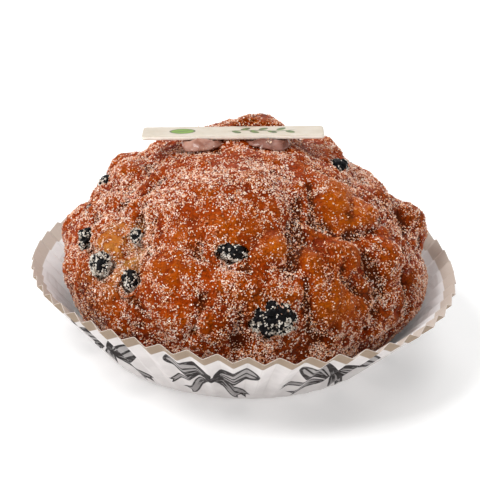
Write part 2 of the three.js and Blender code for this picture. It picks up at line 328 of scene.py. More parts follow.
creases = [  # the line they follow, width in degrees, millimetres
    ([(-48, 48), (-57, 33), (-47, 24), (-33, 22), (-20, 24)], 2.6, 2.2),
    ([(-57, 44), (-64, 32), (-70, 23), (-74, 15)], 2.6, 1.3),
    ([(-70, 15), (-69, 2), (-66, -8)], 2.2, 1.8),
    ([(-54, 17), (-56, 12), (-47, 4)], 2.0, 1.6),
    ([(-41, 12), (-42, 2), (-49, -6)], 3.0, 2.2),
    ([(-16, 9), (-26, 5), (-27, -5)], 2.6, 2.0),
    ([(-141, 31), (-140, 24), (-132, 14), (-129, 5), (-122, 0)], 2.8, 1.8),
    ([(-167, 17), (-152, 10), (-143, 6)], 2.0, 1.5),
    ([(-106, 21), (-99, 19), (-88, 18)], 2.0, 1.4),
    ([(-102, 8), (-104, -3)], 2.2, 1.4),
    ([(-90, 6), (-91, -6)], 2.2, 1.5),
    ([(-30, 58), (-24, 44), (-8, 36)], 2.4, 1.5),
    ([(-148, 46), (-150, 36), (-158, 28)], 2.4, 1.4),
    ([(40, 40), (52, 34), (70, 36), (84, 30)], 2.8, 2.0),
    ([(46, 22), (48, 8), (56, -4)], 2.4, 1.8),
    ([(104, 30), (110, 14), (106, 0)], 2.6, 2.0),
    ([(125, 44), (140, 34), (150, 18)], 2.6, 1.8),
]
ruggedPlaces = [  # where the small lumps are strongest; the brow and the middle are smooth
    (-45, -2, 22, 0.8), (-18, 14, 18, 0.8), (-62, 16, 12, 0.5), (-142, 12, 18, 0.8),
    (-172, 20, 22, 0.6), (-105, -8, 18, 0.6), (60, 20, 30, 0.7), (120, 20, 30, 0.7),
    (0, 50, 14, 0.4), (180, 50, 16, 0.4),
]
barePlaces = [
    (-30, 38, 9, 1.0), (-41, 32, 8, 1.0), (-63, 6, 7, 0.95), (-54, 4, 6, 0.95), (-69, 22, 6, 0.7),
    (-152, 0, 6, 0.8), (-143, 21, 4, 0.1), (-88, 31, 9, 0.7), (-112, 26, 9, 0.55),
    (-55, 15, 5, 0.6), (-76, 26, 5, 0.7), (-46, 12, 8, 0.6), (-58, 22, 7, 0.5), (-98, 6, 6, 0.3),
    (-124, 8, 6, 0.4), (-142, -2, 8, 0.6), (-6, 15, 9, 0.45), (90, 76, 13, 0.5), (-84, 3, 5, 0.5),
    (-92, 27, 8, 0.35), (60, 22, 11, 0.9), (101, 42, 10, 0.8), (137, 8, 9, 0.8), (24, 12, 7, 0.6),
    (116, 24, 8, 0.6), (172, -4, 7, 0.6),
]
amberPlaces = [
    (-30, 38, 9, 1.0), (-42, 30, 8, 0.9), (-63, 6, 7, 0.6), (-54, 4, 6, 0.55), (-69, 22, 6, 0.5),
    (-143, 21, 4, 0.9), (-88, 32, 9, 0.5), (-114, 24, 10, 0.35), (-137, 4, 3, 0.3),
    (-77, 24, 4, 0.6), (60, 22, 9, 0.9), (101, 42, 9, 0.8), (137, 8, 8, 0.6), (116, 24, 6, 0.6),
]
thickPlaces = [
    (-169, 22, 7, 0.6), (-153, 28, 7, 0.5), (-151, 19, 5, 0.5), (-137, 34, 6, 0.5),
    (-126, -2, 6, 0.6), (-129, 20, 4, 0.5), (-131, 44, 7, 0.3), (-172, 68, 9, 0.4),
    (-137, 4, 4, 0.8), (-64, 13, 3, 0.2), (-136, 14, 7, 0.9), (-92, 50, 14, 0.9),
    (-76, 56, 12, 0.8), (-128, 44, 12, 0.5), (-10, 14, 9, 0.45), (-12, -4, 9, 0.5),
    (-128, 16, 4, 0.9), (-137, 10, 5, 0.9), (-18, 30, 6, 0.2), (-100, -6, 14, 0.4),
    (-80, -7, 6, 0.9), (-50, -10, 10, 0.5), (-172, 34, 12, 0.5), (20, 34, 10, 0.6),
    (-48, 10, 3, 0.9), (-96, 20, 4, 0.3), (-102, 15, 8, 0.2), (75, 50, 18, 0.6), (90, 0, 16, 0.5),
    (150, 20, 12, 0.5), (45, -6, 12, 0.5), (-162, 14, 6, 0.7), (-146, 30, 5, 0.6),
    (-137, 37, 7, 0.5), (-126, 36, 6, 0.4), (-160, 20, 6, 0.4), (-84, 40, 8, -0.2),
    (-104, 48, 8, 0.3), (-158, 14, 7, 0.4), (-70, -7, 5, 0.4),
]
# Painted shade: places where the crust is drawn darker, mostly in its crevices
shadedPlaces = [
    (-54, 30, 5, 0.5), (-63, 17, 4, 0.5), (-64, 7, 5, 0.4), (-65, -5, 7, 0.5), (-44, 4, 5, 0.4),
    (-88, 20, 4, 0.3), (-88, 8, 5, 0.3), (-95, 8, 5, 0.3), (-10, 22, 9, 0.5), (4, 16, 9, 0.5),
    (-44, 2, 6, 0.9), (-36, 10, 5, 0.5), (-72, -5, 8, 0.35), (-24, 0, 7, 0.5), (-92, 0, 6, 0.4),
    (-130, 14, 4, 0.9), (-98, 22, 3, 0.6), (-64, 28, 3, 0.5), (100, 2, 10, 0.6), (50, 4, 8, 0.5),
    (150, 0, 10, 0.5), (-142, -1, 7, 0.6), (-4, 12, 8, 0.4), (-84, -3, 8, 0.4), (90, 76, 13, 0.4),
    (-90, 52, 10, 0.25), (-88, 1, 4, 0.8), (-86, 12, 5, 0.4), (-60, 13, 4, 0.4),
]
palePlaces = [
    (-137, 12, 6, 0.8), (-133, 5, 5, 0.15), (-145, 12, 4, 0.6), (-139, 21, 4, 0.6),
    (-147, 20, 3, 0.5), (92, 5, 4, 0.8), (128, 33, 4, 0.5),
]


def spots(ways, listed):
    total = np.zeros(len(ways))
    for turn, rise, width, amount in listed:
        angle = np.degrees(np.arccos(np.clip(ways @ direction(turn, rise), -1, 1)))
        total += amount * np.exp(-((angle / width) ** 2))
    return total


def lines(ways, listed):
    total = np.zeros(len(ways))
    for line, width, depth in listed:
        corners = [direction(*corner) for corner in line]
        nearest = np.full(len(ways), 9.0)
        for a, b in zip(corners, corners[1:]):
            along = np.clip(((ways - a) @ (b - a)) / ((b - a) @ (b - a)), 0, 1)
            nearest = np.minimum(nearest, np.linalg.norm(ways - a - along[:, None] * (b - a), axis=1))
        total = np.maximum(total, depth * np.exp(-((np.degrees(nearest) / width) ** 2)))
    return total


# 1 on the backs of irregular lumps of that size, 0 in the creases between them
def nuggets(points, size):
    found = np.empty(len(points))
    for i, spot in enumerate(points):
        spot = Vector(spot) / size
        first, second = noise.voronoi(spot + noise.noise_vector(spot * 1.7) * 0.3)[0][:2]
        found[i] = 1 - math.exp((first - second) / 0.22)
    return found


def hollows(piece, rounds):  # how deep each point lies below the surface's smoothed form, in millimetres
    edges = np.empty(len(piece.data.edges) * 2, int)
    piece.data.edges.foreach_get("vertices", edges)
    first, second = edges.reshape(-1, 2).T
    start = places(piece)
    count = np.bincount(edges, minlength=len(start))[:, None]
    soft = start.copy()
    for _ in range(rounds):
        total = np.empty_like(soft)
        for axis in range(3):
            atFirst = np.bincount(first, soft[second, axis], len(start))
            atSecond = np.bincount(second, soft[first, axis], len(start))
            total[:, axis] = atFirst + atSecond
        soft = total / count
    return ((soft - start) * normals(piece)).sum(1) / mm


def waysFromCore(piece):
    found = places(piece) - np.array(doughShape["core"]) * mm
    return found / np.linalg.norm(found, axis=1, keepdims=True)


# The summit leans on the plaque's back edge and doesn't hang over it
def clearPlaque(piece):
    spot = places(piece)
    x, y, z = spot.T / mm
    middle, height = doughShape["plaqueMiddle"]
    toRight, toBack = doughShape["plaqueSlopes"]
    under = height + toBack * y + toRight * (x - middle)
    beside = (np.abs(x - middle) < doughShape["plaqueEnd"]) & (y > 0) & (y < doughShape["plaqueBack"])
    spot[beside & (z > under - 0.1), 1] = doughShape["plaqueBack"] * mm
    place(piece, spot)


def makeDough():
    piece = cadCopy("dumpling", "sugared_dough")
    remesh(piece, doughShape["voxel"], doughShape["smoothing"])
    spot = places(piece)
    loose = smoothstep(spot[:, 2] / mm, *doughShape["foot"])
    slab = BVHTree.FromObject(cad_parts["plaque"], bpy.context.evaluated_depsgraph_get())
    fromPlaque = np.array([slab.find_nearest(p)[3] for p in spot]) / mm
    ways = waysFromCore(piece)
    raised = spots(ways, bosses) - lines(ways, creases) - doughShape["sunk"]
    rugged = 0.3 + 0.7 * np.clip(spots(ways, ruggedPlaces), 0, 1)
    for size, depth in doughShape["nuggetSizes"]:
        raised += depth * rugged * (nuggets(spot, size * mm) - 0.85)
    raised = np.minimum(raised * loose, np.maximum(fromPlaque - doughShape["plaqueGap"], 0))
    place(piece, spot + normals(piece) * (raised * mm)[:, None])
    loose *= smoothstep(fromPlaque, *doughShape["plaqueCalm"])
    group = piece.vertex_groups.new(name="loose")
    for i, share in enumerate(loose):
        group.add([i], float(share), "REPLACE")
    for name, size, depth, octaves in doughShape["relief"]:
        rough(piece, name, "CLOUDS", size, depth, "loose", noise_depth=octaves)
    modify(piece, "SMOOTH", factor=0.5, iterations=1)
    clearPlaque(piece)
    return piece


# The dough hangs over one side of each raisin and leaves a dark pit at the other
def pressRaisins(piece):
    spot = places(piece)
    beside = np.zeros(len(spot))
    core = np.array(doughShape["core"]) * mm
    sizes = ("pitWidth", "pitDepth", "raisinGap", "lipAway", "lipHeight")
    width, depth, gap, lipAway, lip = (doughShape[size] * mm for size in sizes)
    ragged, raggedSize = doughShape["lipRagged"]
    for number, (name, raisin) in enumerate(raisins.items()):
        skin = places(raisin)
        middle = skin.mean(0)
        share = doughShape["coverReach"].get(name, doughShape["lipReach"])
        reach = share * max(np.ptp(skin, axis=0).max(), 7 * mm)
        out = (middle - core) / np.linalg.norm(middle - core)
        right = np.cross((0, 0, 1), out)
        right /= np.linalg.norm(right)
        turn = math.radians(doughShape["lipTurns"].get(name, 137 * number))
        lipSide = right * math.cos(turn) + np.cross(out, right) * math.sin(turn)
        tree = BVHTree.FromObject(raisin, bpy.context.evaluated_depsgraph_get())
        for i in np.flatnonzero(np.linalg.norm(spot - middle, axis=1) < 12 * mm):
            point, normal, _, away = tree.find_nearest(spot[i])
            if (Vector(spot[i]) - point).dot(normal) > 0:
                aside = spot[i] - middle
                aside -= out * (aside @ out)
                aside /= np.linalg.norm(aside) + 1e-9
                edge = ragged * noise.noise(Vector(spot[i]) / (raggedSize * mm))
                lean = min(max(0.25 + share + 0.5 * (aside @ lipSide) + edge, 0), 1)
                near = math.exp(-((away / lipAway) ** 2))
                pit = (1 - lean) ** 2 * math.exp(-((away / width) ** 2))
                shift = out * (lip * lean * near - depth * pit)
                shift -= aside * (reach * lean * near - 0.4 * depth * pit)
                spot[i] += shift
                beside[i] = max(beside[i], near * (1 - pit))
                point, normal, _, away = tree.find_nearest(spot[i])
            inside = (Vector(spot[i]) - point).dot(normal) < 0
            if inside or away < gap:
                spot[i] = point + normal * gap
    place(piece, spot)
    return beside


# How the sugar lies on the dough, as shares of a full cover
cover = {
    "everywhere": 0.32,
    "wideClumps": (6.0, 0.75),
    "fineClumps": (1.8, 1.0),
    "inThickPlaces": 0.5,
    "inHollows": 0.3,
    "besideRaisins": 0.5,
    "offBarePlaces": 0.88,
    "foot": (5, 9),  # none lies at the lower height
    "smoothedRounds": 40,
}


def coverDough(piece, besideRaisins):
    spot, ways = places(piece), waysFromCore(piece)
    aboveFoot = smoothstep(spot[:, 2] / mm, *cover["foot"])
    hollow = hollows(piece, cover["smoothedRounds"])
    bare = np.clip(spots(ways, barePlaces), 0, 1)
    thick = np.clip(spots(ways, thickPlaces), 0, 1)
    (wide, wideShare), (fine, fineShare) = cover["wideClumps"], cover["fineClumps"]
    clumps = wideShare * cloudAt(spot, wide * mm, 2) + fineShare * cloudAt(spot, fine * mm, 1)
    sugar = cover["everywhere"] + cover["inThickPlaces"] * thick + clumps
    sugar += cover["inHollows"] * np.clip(hollow, -0.5, 0.8)
    sugar += cover["besideRaisins"] * besideRaisins
    keep(piece, "hollow", np.clip(hollow, -1, 2))
    keep(piece, "amber", np.clip(spots(ways, amberPlaces), 0, 1))
    keep(piece, "dark", np.clip(spots(ways, shadedPlaces), 0, 1))
    keep(piece, "pale", np.clip(spots(ways, palePlaces), 0, 1))
    keep(piece, "sugar", np.clip(sugar * (1 - cover["offBarePlaces"] * bare), 0.04, 1.15) * aboveFoot)
    keep(piece, "glaze", np.clip(0.5 + 0.6 * clumps + 0.3 * bare, 0.05, 1) * aboveFoot)


dough = makeDough()
coverDough(dough, pressRaisins(dough))
print("dough made:", len(dough.data.polygons), "faces")

# Crust finish
crustColours = {
    "orange": colour(168, 62, 2),
    "rust": colour(126, 31, 3),
    # dark serves both the painted shade and the crust's darker specks
    "dark": colour(50, 10, 2),
    "amber": colour(180, 86, 2),
    "pale": colour(208, 146, 72),
    "dust": colour(224, 180, 152),
}


def crustFinish():
    f = Finish("fried crust")
    zone = f.cloud(11, 4, 0.6, 0.4)
    mottle = f.cloud(2.4, 4, 0.6)
    fine = f.cloud(0.75, 3, 0.7)
    hollow = f.attribute("hollow")
    amber = f.attribute("amber")
    height = f.axes(f.point())[2]
    patches = zone.between(0.36, 0.62) * 0.65 + mottle.between(0.4, 0.6) * 0.35
    base = f.mix(patches, crustColours["rust"], crustColours["orange"])
    # Painted light: the ridges, where the crust stands out, are drawn more golden; the amber places are its
    # own glaze
    ridge = (hollow * -1).between(0.1, 0.7) * 0.4
    golden = amber * (mottle.between(0.36, 0.6) * 0.7 + 0.3) + ridge
    base = f.mix(golden.clamped(), base, crustColours["amber"])
    # Painted shade: the crust is darkened in its hollows and at the shaded places; it is also darker towards
    # the bottom, and the specks are its own darker mottle
    dark = hollow.between(0.0, 0.7) * 0.85 + (1 - height.between(10, 30)) * 0.4 + f.attribute("dark") * 0.6
    specks = (0.47 - mottle).clamped() * 1.6 + (0.55 - fine).clamped() * 3.4
    dark = dark + specks * (1 - amber * 0.7)
    base = f.mix(dark.clamped() * 0.9, base, crustColours["dark"])
    base = f.mix((f.attribute("pale") * mottle.between(0.32, 0.6)).clamped(), base, crustColours["pale"])
    dustGrain = f.cells(0.4).between(0.42, 0.2) * f.cloud(1.1, 2).between(0.42, 0.6)
    dusted = (f.attribute("sugar") * dustGrain * 0.08).clamped()
    base = f.mix(dusted, base, crustColours["dust"])
    return f.set(
        Base_Color=base,
        Roughness=0.34 + mottle * 0.16 + dusted * 0.3,
        Normal=f.relief((f.cloud(1.3, 3), 0.3), (fine, 0.22), (dustGrain, 0.1)),
        Subsurface_Weight=0.1,
        Subsurface_Radius=(1.0, 0.3, 0.08),
        Subsurface_Scale=1.2 * mm,
        Specular_IOR_Level=0.14,
        Specular_Tint=(1.0, 0.5, 0.16, 1),
        Coat_Weight=amber * 0.06,
        Coat_Roughness=0.25,
    )


dress(dough, crustFinish(), "dough", "dumpling")


def raisinFinish():
    f = Finish("raisin skin")
    fine = f.cloud(0.8, 4, 0.6)
    bloom = f.cloud(2.2, 3)
    base = f.mix(bloom.between(0.35, 0.7), colour(3, 3, 4), colour(8, 8, 12))
    base = f.mix(fine.between(0.55, 0.8) * 0.4, base, colour(56, 32, 24))
    relief = f.relief((fine, 0.12))
    return f.set(Base_Color=base, Roughness=0.3 + fine * 0.3, Normal=relief, Specular_IOR_Level=0.13)


raisinSkin = raisinFinish()
for node, raisin in raisins.items():
    spot = places(raisin)
    below = (spot[:, 2].mean() - spot[:, 2]) / np.ptp(spot[:, 2])  # more lies on the lower half
    more = raisinShape["sugared"].get(node, 0)
    keep(raisin, "sugar", np.clip(0.05 + more + 1.5 * cloudAt(spot, 1.8 * mm) + 1.5 * below, 0.02, 1))
    dress(raisin, raisinSkin, "raisin", node)

# Paper case: one sheet pressed in pleats. The print outside shows faintly inside.
caseShape = {
    "baseRadius": 41.1,
    "rimRadius": 64.0,
    "rimHeight": 22.6,
    "rimOval": (-0.044, -0.027),
    "rimTilt": (0.87, -1.42),
    "rimWave": (-0.75, 1.18),
    "pleatIn": 0.6,
    "pleatUp": 1.6,
    "flutes": 52,
    "firstFold": -84.5,
    "thickness": 0.16,
    "foldFrom": (0, 0.09, 0.41, 0.5),  # the folds are drawn narrow: a phase here is moved to the one below
    "foldTo": (0, 0.035, 0.465, 0.5),
    "reachDown": 1.8,
    "ringCrease": 0.8,
    "foldCrease": 0.84,
    "creaseSize": 9.0,
    "creaseDepth": 0.3,
    "stripeFrom": 0.86,  # share of the way up the wall
}
# The printed bows, in millimetres along and up the wall
bow = {
    "count": 10,
    "first": -98.0,
    "upTheWall": 0.46,
    "scale": (1.12, 1.35),
    "lean": -8,
    "wallRadius": 53,
    "wallHeight": 31,  # along its slope
    "ribbonTone": 0.62,
    "loopTone": 0.5,
}


def caseShare(spot):
    x, y, z = (spot / mm).T
    angle, radius = np.arctan2(y, x), np.hypot(x, y)

    def wave(pair, times):
        return pair[0] * np.cos(times * angle) + pair[1] * np.sin(times * angle)

    rim = caseShape["rimRadius"] * (1 + wave(caseShape["rimOval"], 2)) - caseShape["baseRadius"]
    height = caseShape["rimHeight"] + wave(caseShape["rimTilt"], 1) + wave(caseShape["rimWave"], 2)
    inner, up = caseShape["pleatIn"], caseShape["pleatUp"]
    return (z * inner + (radius - caseShape["baseRadius"]) * up) / (height * inner + rim * up)


# 0 on an outer fold of the pleats, -0.5 and 0.5 on the inner folds beside it
def foldPhase(spot):
    angle = np.degrees(np.arctan2(spot[:, 1], spot[:, 0])) - caseShape["firstFold"]
    return (angle * caseShape["flutes"] / 360 + 0.5) % 1 - 0.5


# The solid's outer face alone, in quads
def outerSheet():
    piece = cadCopy("paper_case", "pleated_paper")
    bpy.ops.object.mode_set(mode="EDIT")
    bpy.ops.mesh.select_all(action="DESELECT")
    bpy.ops.object.mode_set(mode="OBJECT")
    for face in piece.data.polygons:
        face.select = face.normal.z > 0
    bpy.ops.object.mode_set(mode="EDIT")
    bpy.ops.mesh.select_mode(type="FACE")
    bpy.ops.mesh.delete(type="FACE")
    bpy.ops.mesh.select_all(action="SELECT")
    bpy.ops.mesh.tris_convert_to_quads(face_threshold=math.radians(60), shape_threshold=math.radians(80))
    bpy.ops.object.mode_set(mode="OBJECT")
    return piece


# The folds are drawn sharper, and the pleats reach down to the base
def sharpenPleats(piece):
    creases = piece.data.attributes.new("crease_edge", "FLOAT", "EDGE")
    spot = places(piece)
    wall = spot[:, 2] > 0.1 * mm
    fold = foldPhase(spot)
    sharper = np.sign(fold) * np.interp(np.abs(fold), caseShape["foldFrom"], caseShape["foldTo"])
    turn = np.where(wall, (sharper - fold) * 2 * math.pi / caseShape["flutes"], 0)
    x, y = spot[:, 0].copy(), spot[:, 1].copy()
    spot[:, 0] = x * np.cos(turn) - y * np.sin(turn)
    spot[:, 1] = x * np.sin(turn) + y * np.cos(turn)
    share = np.clip(caseShare(spot), 0, 1)
    deeper = caseShape["reachDown"] * (share**0.35 - share**0.65)
    deeper = np.where(wall & (np.abs(fold) > 0.25), deeper, 0)
    spot[:, :2] *= 1 - (deeper * caseShape["pleatIn"] * mm / np.hypot(x, y).clip(1 * mm))[:, None]
    spot[:, 2] += deeper * caseShape["pleatUp"] * mm
    place(piece, spot)
    for edge in piece.data.edges:
        low = max(spot[v][2] for v in edge.vertices) < 0.1 * mm
        onRing = min(math.hypot(*spot[v][:2]) for v in edge.vertices) > 40 * mm
        fold = abs(spot[edge.vertices[0]][2] - spot[edge.vertices[1]][2]) > 4 * mm
        sharpness = caseShape["ringCrease"] if low and onRing else caseShape["foldCrease"] if fold else 0
        creases.data[edge.index].value = sharpness


def makeCase(*finishes):
    piece = outerSheet()
    sharpenPleats(piece)
    modify(piece, "SUBSURF", levels=3, render_levels=3)
    keep(piece, "upTheWall", caseShare(places(piece)))
    keep(piece, "fold", np.abs(foldPhase(places(piece))) * 2)
    group = piece.vertex_groups.new(name="wall")
    for i, share in enumerate(smoothstep(caseShare(places(piece)), 0.08, 0.5)):
        group.add([i], float(share), "REPLACE")
    size, depth = caseShape["creaseSize"], caseShape["creaseDepth"]
    rough(piece, "paper creases", "CLOUDS", size, depth, "wall", noise_depth=1)
    for finish in finishes:
        piece.data.materials.append(finish)
    modify(
        piece, "SOLIDIFY", thickness=caseShape["thickness"] * mm, offset=-1,
        use_rim=True, material_offset=1, material_offset_rim=1,
    )
    only(piece)
    bpy.ops.object.shade_smooth_by_angle(angle=math.radians(40))
    return piece


# Prints are drawn in millimetres: an oval of ink
def blot(a, b, x, y, long, wide, turn, soft=0.22):
    c, s = math.cos(math.radians(turn)), math.sin(math.radians(turn))
    along = ((a - x) * c + (b - y) * s) / long
    across = ((b - y) * c - (a - x) * s) / wide
    return ((1 - (along * along + across * across)) * (min(long, wide) / soft)).clamped()


# A ribbon's end runs out from the knot: ink along its edges, its notched end and a fold in it
def ribbonEnd(a, b, turn, reach, bend, width, soft=0.2):
    c, s = math.cos(math.radians(turn)), math.sin(math.radians(turn))
    along = a * c + b * s
    share = (along / reach).clamped()
    off = b * c - a * s - share * share * bend - (share * 5.5).maths("SINE") * 0.7
    away = off.maths("ABSOLUTE")
    half = (share * 2.2 + 0.2).clamped() * width
    notch = away * 0.9 - along + (reach - width * 0.9)
    left = (half - away).maths("MINIMUM", notch).maths("MINIMUM", along)
    ribbon = (left / soft).clamped()
    line = ribbon * (1 - ((left - 0.6) / soft).clamped())
    fold = (1 - ((off + half * 0.2).maths("ABSOLUTE") - 0.34) / soft).clamped()
    fold = fold * (1 - share.between(0.35, 0.85)) * ribbon
    return line.more(fold).more(ribbon * bow["ribbonTone"])


def ribbonLoop(a, b, x, y, long, wide, turn):
    outer = blot(a, b, x, y, long, wide, turn)
    inner = blot(a, b, x * 1.08, y * 1.08, long - 1.2, wide - 1.0, turn)
    spread = b.maths("ARCTAN2", a)  # the gathers run out from the knot
    far = (a * a + b * b).maths("SQRT")
    waves = (spread * 21 + far * 0.35).maths("SINE") + (spread * 9 - 1).maths("SINE") * 0.5
    gathers = (waves + 1.0 - far * 0.12).between(0.1, 0.5)
    return (outer - inner * (1 - gathers) * bow["loopTone"]).clamped()


# A tied bow: a knot, two loops and four ribbon ends
def bowInk(f):
    x, y, _ = f.axes(f.point())
    pitch = 2 * math.pi / bow["count"]
    turn = y.maths("ARCTAN2", x) / pitch - math.radians(bow["first"]) / pitch
    turn = (turn + 0.5).maths("FLOORED_MODULO", 1.0) - 0.5
    wide, tall = bow["scale"]
    a = turn * (pitch * bow["wallRadius"] / wide)
    b = (f.attribute("upTheWall") - bow["upTheWall"]) * (bow["wallHeight"] / tall)
    c, s = math.cos(math.radians(bow["lean"])), math.sin(math.radians(bow["lean"]))
    a, b = a * c + b * s, b * c - a * s
    ink = blot(a, b, 0, 0, 1.6, 1.3, 20)
    for side in (-1, 1):
        across = a * side
        ink = ink.more(ribbonLoop(across, b, 5.5, 3.2, 5.8, 3.5, 28 + 5 * side))
        ink = ink.more(ribbonEnd(across, b, -54 + 6 * side, 11.5, 2.4, 1.5))
        ink = ink.more(ribbonEnd(across, b, -16 - 4 * side, 12.5, -2.4, 1.15))
    return ink * (f.cloud(1.6, 3).between(0.25, 0.5) * 0.2 + 0.8)


def paperFinish(name, stripeColour, paperColours, inkColour, inkShare):
    f = Finish(name)
    mottle = f.cloud(5, 4)
    fibres = f.cloud(0.5, 3, 0.7)
    up = f.attribute("upTheWall")
    base = f.mix(mottle.between(0.3, 0.7), *paperColours)
    stripe = up.between(caseShape["stripeFrom"] - 0.006, caseShape["stripeFrom"] + 0.006)
    base = f.mix(stripe, base, stripeColour)
    # Painted shade: the paper is greyed along its fold lines, from a little above the base
    fromFold = ((f.attribute("fold") * 2 - 1).maths("ABSOLUTE") - 1).maths("ABSOLUTE")
    foldShade = (1 - fromFold.between(0.0, 0.14)) * up.between(0.05, 0.3)
    base = f.mix(foldShade * 0.09, base, colour(120, 112, 106))
    base = f.mix(bowInk(f) * inkShare, base, inkColour)
    return f.set(
        Base_Color=base,
        Roughness=0.62 + fibres * 0.2,
        Normal=f.relief((mottle, 0.25), (fibres, 0.04)),
        Specular_IOR_Level=0.35,
        Subsurface_Weight=0.4,  # some light comes through the paper
        Subsurface_Radius=(1.0, 1.0, 1.0),
        Subsurface_Scale=0.6 * mm,
    )


# Painted light: the inside is given a whiter colour than the outside, though both are the same paper
outsidePaper = [colour(224, 218, 216), colour(212, 206, 204)]
insidePaper = [colour(242, 241, 241), colour(234, 232, 232)]
outside = paperFinish("printed paper", colour(154, 135, 116), outsidePaper, colour(27, 17, 17), 1.0)
inside = paperFinish("paper inside", colour(198, 186, 176), insidePaper, colour(186, 178, 174), 0.3)
paperCase = makeCase(outside, inside)
dress(paperCase, None, "paper", "paper_case")
print("paper case made:", len(paperCase.data.polygons), "faces")

# Plaque and the icing that holds it
plaqueShape = {
    "voxel": 0.3,
    "smoothing": 3,
    "waves": (7.0, 0.22),  # how wide, how deep
    "pits": (0.9, 0.06),
    "middle": (-3.8, 0.0, 61.9),
    "pitch": -8.0,
    "roll": -2.5,
    "thickness": 1.3,
    "leaf": (-14.2, -0.2),
    "sprig": (1.0, 2.5, 7),  # where its first leaf is, how far apart they are, how many
}
plaque = cadCopy("plaque", "white_plaque")
remesh(plaque, plaqueShape["voxel"], plaqueShape["smoothing"])
rough(plaque, "plaque waves", "CLOUDS", *plaqueShape["waves"])
rough(plaque, "plaque pits", "CLOUDS", *plaqueShape["pits"])


def plaqueFinish():
    f = Finish("white chocolate")
    pitch, roll = math.radians(plaqueShape["pitch"]), math.radians(plaqueShape["roll"])
    flat = (Matrix.Rotation(pitch, 4, "X") @ Matrix.Rotation(roll, 4, "Y")).inverted().to_euler()
    inputs = {0: f.point(), 1: plaqueShape["middle"]}
    shifted = f.node("ShaderNodeVectorMath", {"operation": "SUBTRACT"}, inputs).outputs[0]
    inputs = {"Vector": shifted, "Rotation": flat}
    a, b, up = f.axes(f.node("ShaderNodeMapping", {"vector_type": "POINT"}, inputs).outputs[0])
    onTop = up.between(plaqueShape["thickness"] - 0.45, plaqueShape["thickness"] - 0.25)
    # A leaf at the left, and a sprig of small leaves at the right
    leafOutline = blot(a, b, *plaqueShape["leaf"], 3.8, 3.3, 20, 0.3)
    leafVein = blot(a, b, *plaqueShape["leaf"], 3.1, 0.45, 32, 0.15)
    leafFill = blot(a, b, *plaqueShape["leaf"], 3.3, 2.8, 20, 0.3) * (1 - leafVein * 0.8)
    along = ((a + 1.6) / 19.5).clamped()
    fromStalk = (b + 0.8 - along * 1.2 - (along * 6.5).maths("SINE") * 0.9).maths("ABSOLUTE")
    sprig = (((along * (1 - along)).maths("SQRT") * 1.2 - fromStalk) / 0.25).clamped()
    first, step, count = plaqueShape["sprig"]
    for i in range(count):
        side = 1 if i % 2 else -1
        sprig = sprig.more(blot(a, b, first + step * i, side * 1.9, 2.0, 1.1, 58 * side, 0.25))
    mottle = f.cloud(3.5, 4)
    base = f.mix(mottle.between(0.3, 0.7), colour(212, 201, 186), colour(204, 192, 174))
    # Painted light: the edges and the underside are given a lighter cream than the top, so that the front
    # edge looks lit
    base = f.mix(onTop, colour(240, 230, 218), base)
    base = f.mix(leafOutline.more(sprig) * onTop * 0.9, base, colour(60, 76, 32))
    green = leafFill.more(sprig * f.cloud(1.0, 2).between(0.5, 0.6) * 0.5)
    base = f.mix(green * onTop * 0.95, base, colour(122, 160, 50))
    return f.set(
        Base_Color=base,
        Roughness=0.42 + mottle * 0.12,
        Normal=f.relief((f.cloud(0.8, 3), 0.08)),
        Subsurface_Weight=0.1,
        Subsurface_Radius=(1.0, 0.8, 0.6),
        Subsurface_Scale=0.8 * mm,
    )


dress(plaque, plaqueFinish(), "plaque", "plaque")


icingShape = {
    "voxel": 0.3,
    "smoothing": 6,
    "folds": (3.0, 0.5),
    "sugarSize": 2,
}


def icingFinish(name, light, deep):
    f = Finish(name)
    haze = f.cloud(2.4, 3)
    base = f.mix(haze.between(0.3, 0.7), light, deep)
    return f.set(
        Base_Color=base,
        Roughness=0.2 + haze * 0.1,
        Normal=f.relief((f.cloud(1.5, 3), 0.1)),
        Specular_IOR_Level=0.4,
        Subsurface_Weight=0.4,
        Subsurface_Radius=(1.0, 0.6, 0.5),
        Subsurface_Scale=2 * mm,
    )


# Painted shade: the right dab lies in the plaque's shade and is given darker colours than the left
icingFinishes = {
    "icing_left": icingFinish("clear icing left", colour(184, 142, 126), colour(146, 96, 78)),
    "icing_right": icingFinish("clear icing right", colour(160, 112, 98), colour(112, 66, 52)),
}
icing = []
for node, glaze in icingFinishes.items():
    dab = cadCopy(node, "clear_" + node)
    remesh(dab, icingShape["voxel"], icingShape["smoothing"])
    rough(dab, "icing folds", "CLOUDS", *icingShape["folds"])
    keep(dab, "sugar", np.clip(0.6 * cloudAt(places(dab), icingShape["sugarSize"] * mm) - 0.1, 0, 1))
    keep(dab, "glaze", np.zeros(len(dab.data.vertices)))
    dress(dab, glaze, "icing", node)
    icing.append(dab)
print("plaque and icing made")

